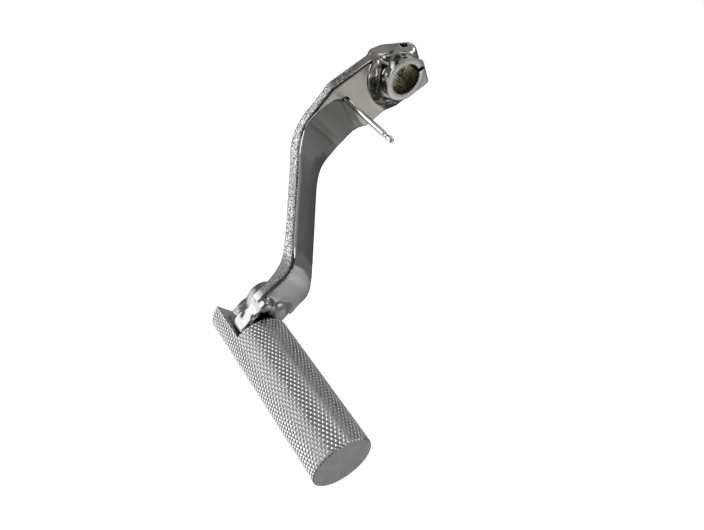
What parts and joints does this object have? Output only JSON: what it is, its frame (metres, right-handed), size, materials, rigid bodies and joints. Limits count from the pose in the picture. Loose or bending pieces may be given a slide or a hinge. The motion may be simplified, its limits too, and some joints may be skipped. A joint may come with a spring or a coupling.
{
  "type": "foot peg",
  "caption": "Cranked foot lever with a serrated split clamp hub at the top and a knurled foot peg that folds on a pivot at the bottom.",
  "frame": {"origin": "centre of the serrated bore, half-way along the hub", "axes": "+Y along the bore towards the machine, so the peg stands out along -Y; +Z from the peg up to the hub; +X completes the frame"},
  "size_m": [0.0358, 0.114, 0.1457],
  "materials": {
    "polished_forging": "plated over a forged surface: polished at the hub, satin on the flat faces",
    "knurled_chrome": "bright plating over a diamond knurl",
    "bush_bronze": "sintered bronze",
    "hardware_steel": "zinc-plated steel",
    "spring_steel": "oiled spring wire",
    "pin_steel": "bright plated steel"
  },
  "bodies": {
    "lever": {"clamp_hub": "polished_forging", "crank_arm": "polished_forging", "pivot_knuckle": "polished_forging", "return_spring_pin": "pin_steel", "pivot_screw": "hardware_steel", "spring_washer": "hardware_steel", "thrust_washer": "hardware_steel"},
    "peg": {"foot_peg": "knurled_chrome", "pivot_bush": "bush_bronze", "detent_ball": "hardware_steel", "detent_spring": "spring_steel"}
  },
  "joints": [
    {"name": "peg_fold", "type": "hinge", "parent": "lever", "child": "peg", "pos_m": [0, -0.032, -0.1208], "axis": [0, 0, 1], "range_deg": [0, 90]}
  ]
}
